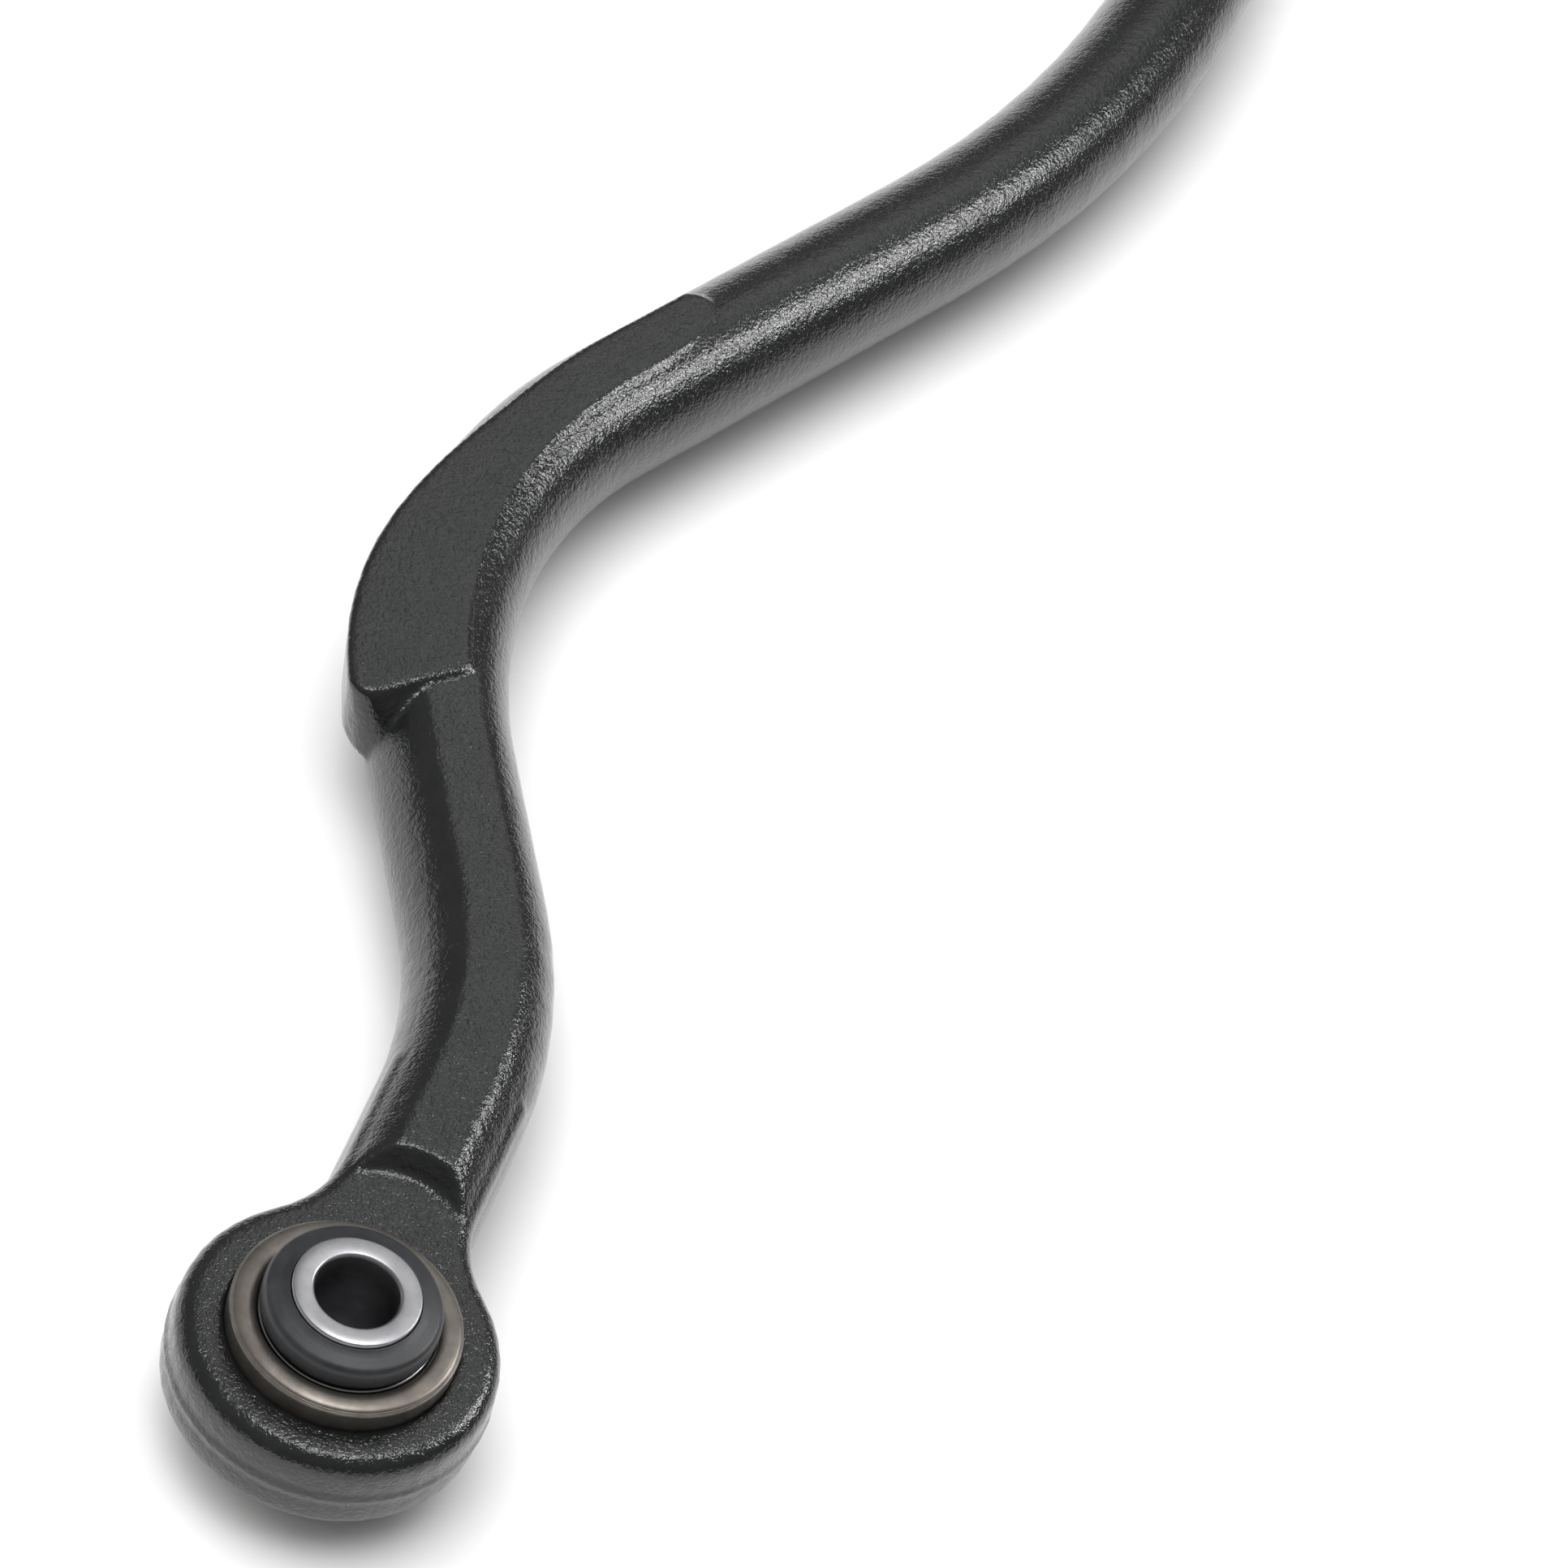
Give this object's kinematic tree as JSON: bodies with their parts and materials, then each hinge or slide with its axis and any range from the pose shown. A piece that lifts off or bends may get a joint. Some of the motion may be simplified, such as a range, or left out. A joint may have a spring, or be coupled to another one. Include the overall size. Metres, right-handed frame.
{
  "type": "lateral control rod",
  "caption": "Bent forged steel suspension rod with a bored ball-sleeve joint and rubber boots in the eye at each end.",
  "frame": {"origin": "centre of the ball of joint A, on its bolt axis, in the rod's mid plane", "axes": "+X runs from joint A to joint B, +Z is the bolt axis of both joints, +Y is the side to which the rod bows first"},
  "size_m": [0.8757, 0.1035, 0.0392],
  "materials": {
    "rod_coating": "gloss black paint over forging scale texture",
    "housing_steel": "turned, satin, olive-brown passivation",
    "sleeve_steel": "faced and bored, satin",
    "ring_steel": "plain",
    "wire_steel": "bright drawn wire",
    "race_polymer": "moulded",
    "boot_rubber": "satin"
  },
  "bodies": {
    "rod": {"rod": "rod_coating", "a_housing": "housing_steel", "a_race_upper": "race_polymer", "a_race_lower": "race_polymer", "a_closing_ring_upper": "ring_steel", "a_closing_ring_lower": "ring_steel", "a_clamp_wire_upper": "wire_steel", "a_clamp_wire_lower": "wire_steel", "b_housing": "housing_steel", "b_race_upper": "race_polymer", "b_race_lower": "race_polymer", "b_closing_ring_upper": "ring_steel", "b_closing_ring_lower": "ring_steel", "b_clamp_wire_upper": "wire_steel", "b_clamp_wire_lower": "wire_steel"},
    "a_boots": {"a_boot_upper": "boot_rubber", "a_boot_lower": "boot_rubber"},
    "a_necks": {"a_neck_insert_upper": "ring_steel", "a_neck_insert_lower": "ring_steel"},
    "a_sleeve": {"a_ball_sleeve": "sleeve_steel"},
    "b_boots": {"b_boot_upper": "boot_rubber", "b_boot_lower": "boot_rubber"},
    "b_necks": {"b_neck_insert_upper": "ring_steel", "b_neck_insert_lower": "ring_steel"},
    "b_sleeve": {"b_ball_sleeve": "sleeve_steel"}
  },
  "joints": [
    {"name": "a_tilt_across", "type": "hinge", "parent": "rod", "child": "a_boots", "pos_m": [0, 0, 0], "axis": [1, 0, 0], "range_deg": [-8, 8], "deforming": ["a_boot_upper", "a_boot_lower"]},
    {"name": "a_tilt_along", "type": "hinge", "parent": "a_boots", "child": "a_necks", "pos_m": [0, 0, 0], "axis": [0, 1, 0], "range_deg": [-8, 8]},
    {"name": "a_twist", "type": "hinge", "parent": "a_necks", "child": "a_sleeve", "pos_m": [0, 0, 0], "axis": [0, 0, 1], "continuous": true},
    {"name": "b_tilt_across", "type": "hinge", "parent": "rod", "child": "b_boots", "pos_m": [0.82, 0, 0], "axis": [1, 0, 0], "range_deg": [-8, 8], "deforming": ["b_boot_upper", "b_boot_lower"]},
    {"name": "b_tilt_along", "type": "hinge", "parent": "b_boots", "child": "b_necks", "pos_m": [0.82, 0, 0], "axis": [0, 1, 0], "range_deg": [-8, 8]},
    {"name": "b_twist", "type": "hinge", "parent": "b_necks", "child": "b_sleeve", "pos_m": [0.82, 0, 0], "axis": [0, 0, 1], "continuous": true}
  ]
}
